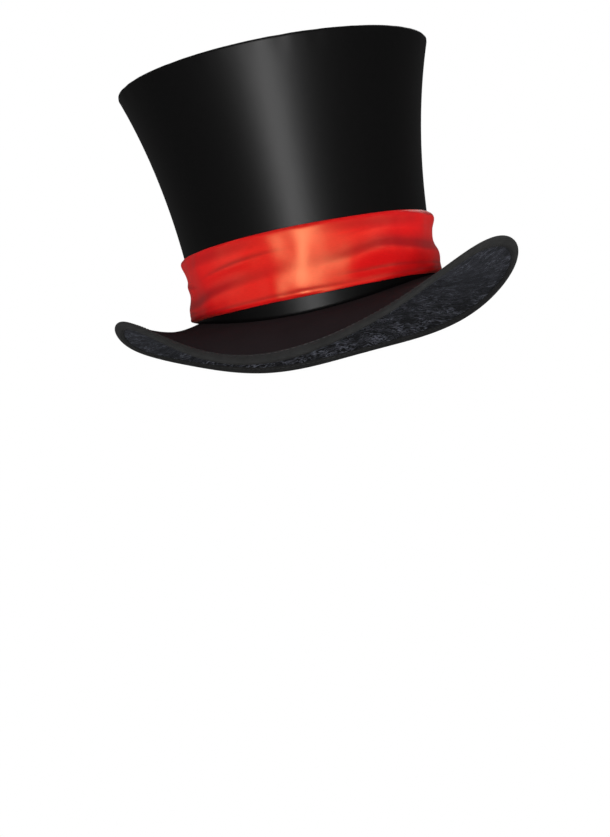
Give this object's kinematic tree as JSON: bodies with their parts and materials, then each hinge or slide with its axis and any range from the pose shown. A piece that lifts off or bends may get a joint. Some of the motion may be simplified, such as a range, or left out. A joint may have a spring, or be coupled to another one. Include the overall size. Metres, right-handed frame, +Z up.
{
  "type": "top hat",
  "caption": "Tall bell-crowned satin top hat with a folded sash, bound curled brim, lining and sweatband.",
  "frame": {"origin": "on the table under the middle of the hat, level with the lowest edge of the brim", "axes": "+Z up through the crown, +Y to the back of the hat, +X to the wearer's left"},
  "size_m": [0.3018, 0.3265, 0.217],
  "materials": {
    "black_satin": "satin, with the weave's soft shine",
    "red_satin": "glossy satin in soft folds",
    "brim_felt": "matte short felt",
    "crushed_velvet": "crushed velvet with pale streaks",
    "binding_felt": "soft charcoal felt",
    "white_buckram": "stiffened open weave",
    "foam": "soft open-cell foam",
    "lining_satin": "thin lining satin",
    "sweatband_cloth": "soft matte imitation leather",
    "grosgrain": "ribbed tape",
    "steel_wire": "drawn wire",
    "black_thread": "twisted polyester thread",
    "label_cloth": "smooth woven label, blank"
  },
  "bodies": {
    "root": {"crown_side_cover": "black_satin", "crown_side_padding": "foam", "crown_side_stiffener": "white_buckram", "crown_seam_tape": "grosgrain", "crown_side_lining": "lining_satin", "crown_tip_cover": "black_satin", "crown_tip_padding": "foam", "crown_tip_stiffener": "white_buckram", "crown_tip_lining": "lining_satin", "crown_top_wire": "steel_wire", "headline_tape": "grosgrain", "brim_stiffener": "white_buckram", "brim_top_cover": "brim_felt", "brim_under_cover": "crushed_velvet", "brim_edge_wire": "steel_wire", "brim_wire_joiner": "steel_wire", "brim_binding": "binding_felt", "binding_thread": "black_thread", "hat_sash": "red_satin", "sash_join_wrap": "red_satin", "sweatband": "sweatband_cloth", "sweatband_thread": "black_thread", "sweatband_join_tape": "grosgrain", "care_label": "label_cloth"}
  },
  "joints": []
}
